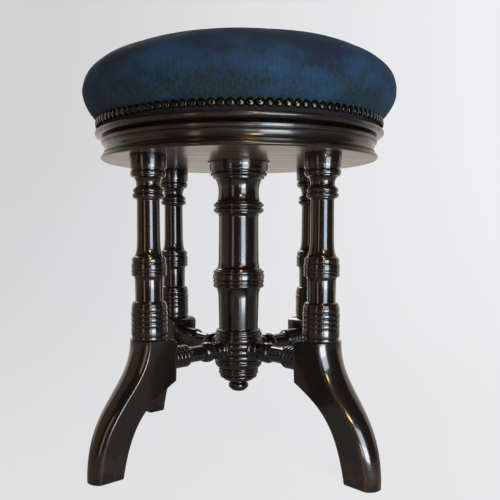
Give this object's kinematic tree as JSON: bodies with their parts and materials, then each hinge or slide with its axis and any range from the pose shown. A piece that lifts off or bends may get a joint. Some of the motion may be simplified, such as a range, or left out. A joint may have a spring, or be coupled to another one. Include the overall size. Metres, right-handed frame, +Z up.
{
  "type": "revolving piano stool",
  "caption": "Round stuffed velvet seat, close nailed, turning up on an iron screw over a moulded platform, with a thick turned centre column, slim turned columns, stretchers and sabre legs.",
  "frame": {"origin": "on the floor, on the axis of the screw, with the seat turned down to its playing height", "axes": "+Z up along the screw; -Y towards the front, between the two front legs; the legs lie on the diagonals"},
  "size_m": [0.382, 0.382, 0.4891],
  "materials": {
    "velvet": "teal-navy cotton velvet, worn paler in patches",
    "calico": "unbleached calico",
    "horsehair": "curled hair",
    "antique_brass": "antiqued dark bronze, rubbed bright on the domes",
    "dark_braid": "black cotton braid",
    "ebonised_wood": "black French polish over brown wood, worn at the edges",
    "black_iron": "dark cast iron",
    "screw_iron": "turned wrought iron, oiled",
    "steel": "dull steel"
  },
  "bodies": {
    "base": {"column_nut": "black_iron", "nut_screws": "steel", "platform": "ebonised_wood", "centre_column": "ebonised_wood", "pendant_finial": "ebonised_wood", "front_left_column": "ebonised_wood", "front_right_column": "ebonised_wood", "back_left_column": "ebonised_wood", "back_right_column": "ebonised_wood", "front_left_leg": "ebonised_wood", "front_right_leg": "ebonised_wood", "back_left_leg": "ebonised_wood", "back_right_leg": "ebonised_wood", "front_left_stretcher": "ebonised_wood", "front_right_stretcher": "ebonised_wood", "back_left_stretcher": "ebonised_wood", "back_right_stretcher": "ebonised_wood"},
    "stop": {"stop_washer": "steel"},
    "seat": {"velvet_cover": "velvet", "calico_cover": "calico", "hair_stuffing": "horsehair", "dome_nails": "antique_brass", "edge_band": "dark_braid", "seat_board": "ebonised_wood", "seat_plate": "black_iron", "plate_screws": "steel", "seat_screw": "screw_iron", "end_nut": "black_iron", "end_pin": "steel"}
  },
  "joints": [
    {"name": "seat_rise", "type": "slide", "parent": "base", "child": "stop", "axis": [0, 0, 1], "range_m": [-0.0016, 0.0985]},
    {"name": "seat_turn", "type": "hinge", "parent": "stop", "child": "seat", "pos_m": [0, 0, 0.38], "axis": [0, 0, 1], "range_deg": [-90, 5580]}
  ],
  "couplings": [
    {"joint": "seat_rise", "follows": "seat_turn", "m_per_rad": 0.0010106}
  ]
}
